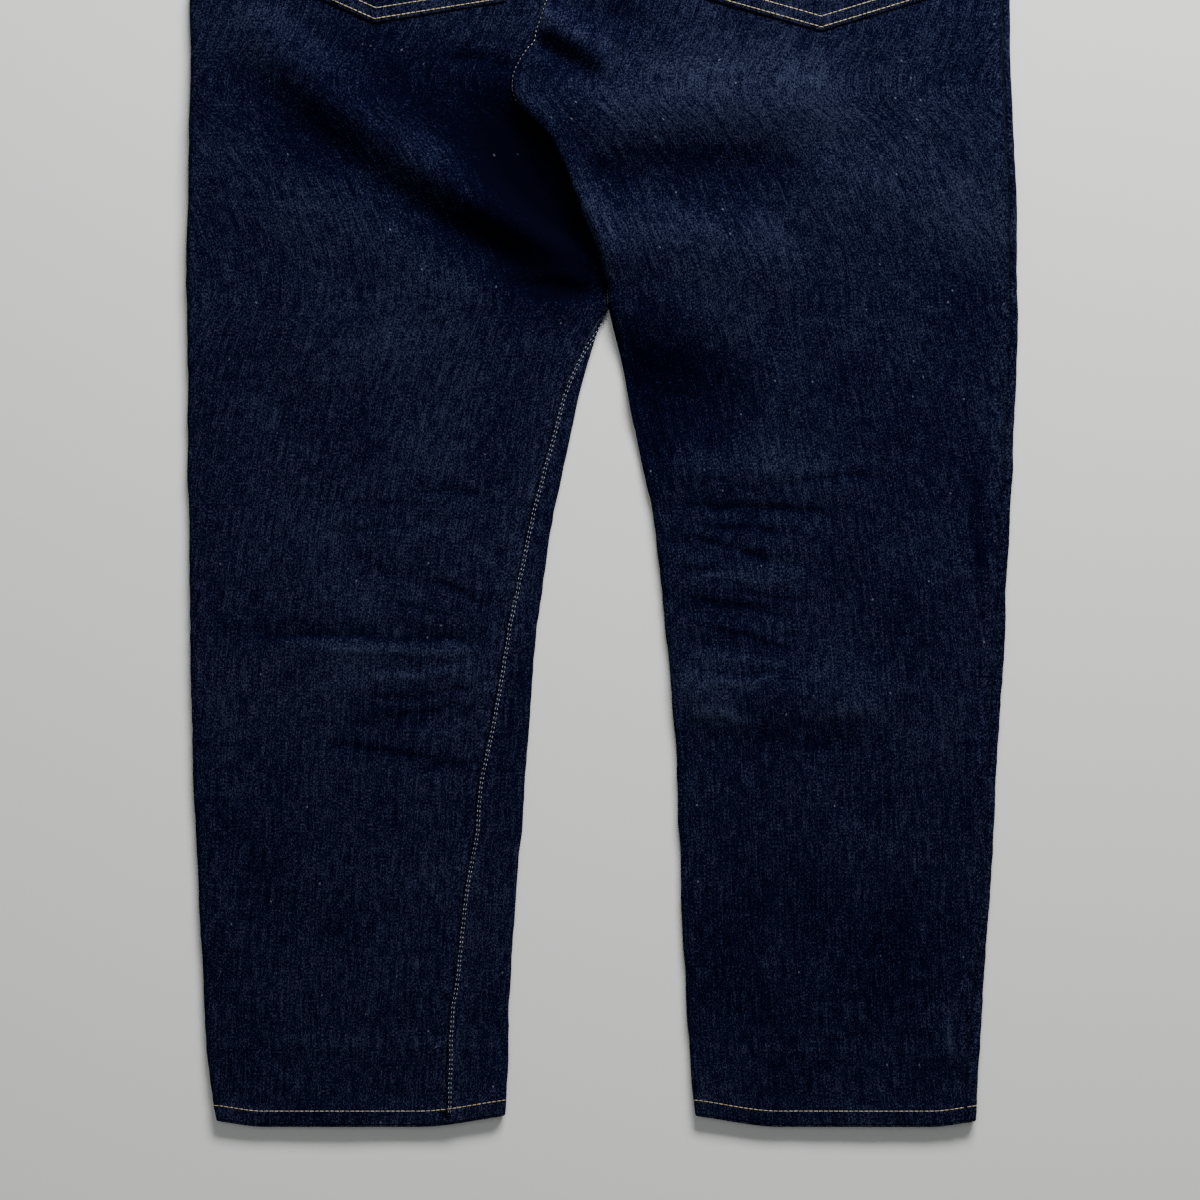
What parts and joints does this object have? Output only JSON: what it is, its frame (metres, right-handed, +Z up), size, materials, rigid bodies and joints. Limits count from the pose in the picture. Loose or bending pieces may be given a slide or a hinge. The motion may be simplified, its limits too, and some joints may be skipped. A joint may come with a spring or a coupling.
{
  "type": "straight leg jeans laid flat, back side up",
  "caption": "straight leg jeans in stiff dark blue denim, laid flat on their front, with patch back pockets, yokes, waistband, belt loops and turned-in hems",
  "frame": {"origin": "middle of the underside, on the surface that the garment lies on", "axes": "+Y from the hems to the waist, +X to the right when the back is seen from above, +Z up out of the back of the garment"},
  "size_m": [0.5809, 1.0194, 0.0178],
  "materials": {
    "denim": "raw indigo twill, matt",
    "brass": "dull antique brass",
    "thread": "pale gold sewing thread, slightly waxed"
  },
  "bodies": {
    "root": {"back_left": "denim", "back_right": "denim", "front_left": "denim", "front_right": "denim", "yoke_left": "denim", "yoke_right": "denim", "waistband": "denim", "hem_left": "denim", "hem_right": "denim", "pocket_back_left": "denim", "pocket_back_right": "denim", "pocket_facing_left": "denim", "pocket_facing_right": "denim", "fly_shield": "denim", "belt_loop_back": "denim", "belt_loop_back_left": "denim", "belt_loop_back_right": "denim", "belt_loop_front_left": "denim", "belt_loop_front_right": "denim", "waist_button": "brass"}
  },
  "joints": []
}
